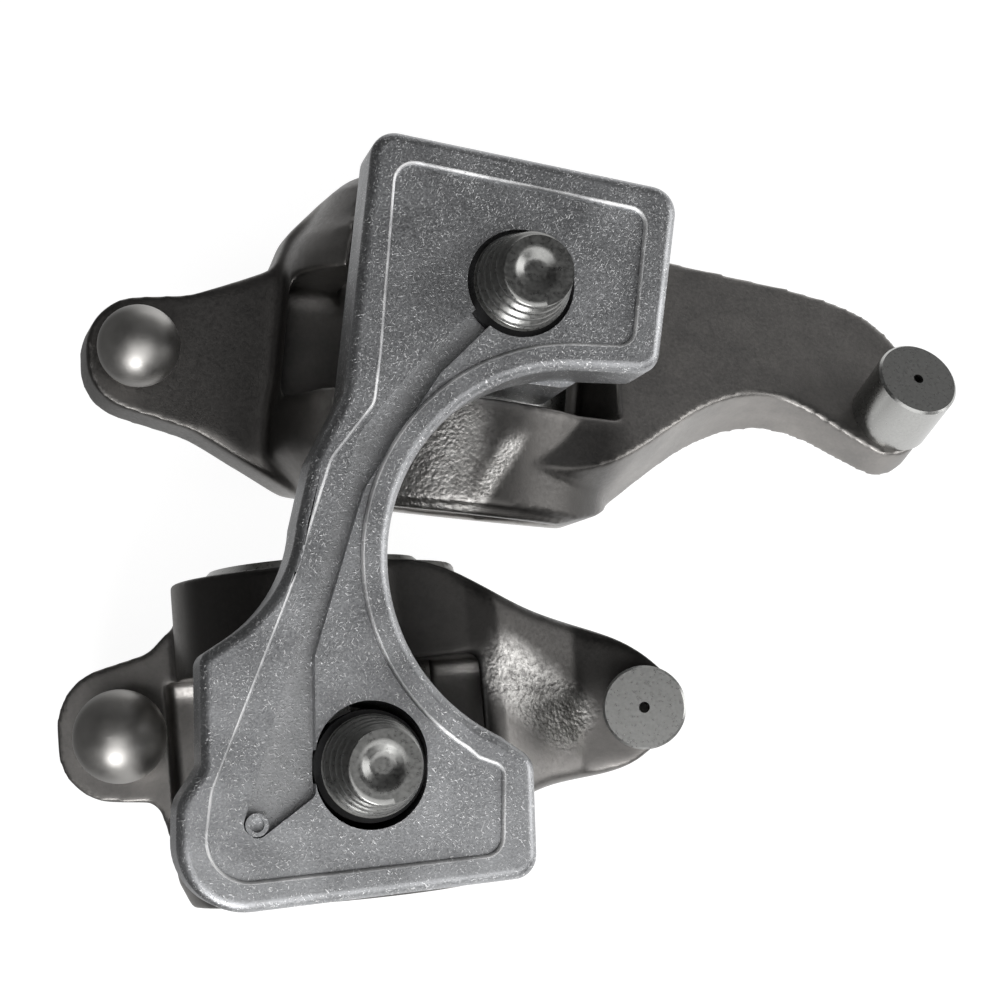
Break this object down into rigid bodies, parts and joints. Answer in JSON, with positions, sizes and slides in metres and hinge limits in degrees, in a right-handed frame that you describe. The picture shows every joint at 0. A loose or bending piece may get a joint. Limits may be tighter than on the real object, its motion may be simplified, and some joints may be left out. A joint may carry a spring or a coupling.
{
  "type": "two-lever rocker assembly",
  "caption": "Pair of steel rocker levers on short shafts under a cast bracket plate, with ball ends for the pushrods, flat feet for the valves and bolts that stand out of the seat face.",
  "frame": {"origin": "axis of the long lever's bolt, in the plane of the bracket's seat face", "axes": "+Z out of the seat face towards the cylinder head, +X towards the valves, +Y along the plate from the short lever to the long one"},
  "size_m": [0.0765, 0.063, 0.0446],
  "materials": {
    "shot_blasted_casting": "shot-blasted, satin",
    "forged_steel": "as forged and tumbled, dull",
    "ground_steel": "ground",
    "polished_steel": "polished",
    "bolt_steel": "turned, phosphated",
    "plug_steel": "drawn",
    "black_rubber": "matt"
  },
  "bodies": {
    "bracket": {"rocker_bracket": "shot_blasted_casting", "long_rocker_shaft": "ground_steel", "short_rocker_shaft": "ground_steel", "long_shaft_front_plug": "plug_steel", "long_shaft_rear_plug": "plug_steel", "short_shaft_front_plug": "plug_steel", "short_shaft_rear_plug": "plug_steel", "long_bolt": "bolt_steel", "short_bolt": "bolt_steel", "long_bolt_ring": "black_rubber", "short_bolt_ring": "black_rubber"},
    "long_lever": {"long_rocker_arm": "forged_steel", "long_ball_pin": "polished_steel", "long_valve_foot": "ground_steel"},
    "short_lever": {"short_rocker_arm": "forged_steel", "short_ball_pin": "polished_steel", "short_valve_foot": "ground_steel"}
  },
  "joints": [
    {"name": "long_rocker_swing", "type": "hinge", "parent": "bracket", "child": "long_lever", "pos_m": [0, 0, -0.023], "axis": [0.0785, 0.9969, 0], "range_deg": [-20, 14]},
    {"name": "short_rocker_swing", "type": "hinge", "parent": "bracket", "child": "short_lever", "pos_m": [-0.0119, -0.039, -0.023], "axis": [-0.0872, 0.9962, 0], "range_deg": [-3, 32]}
  ]
}
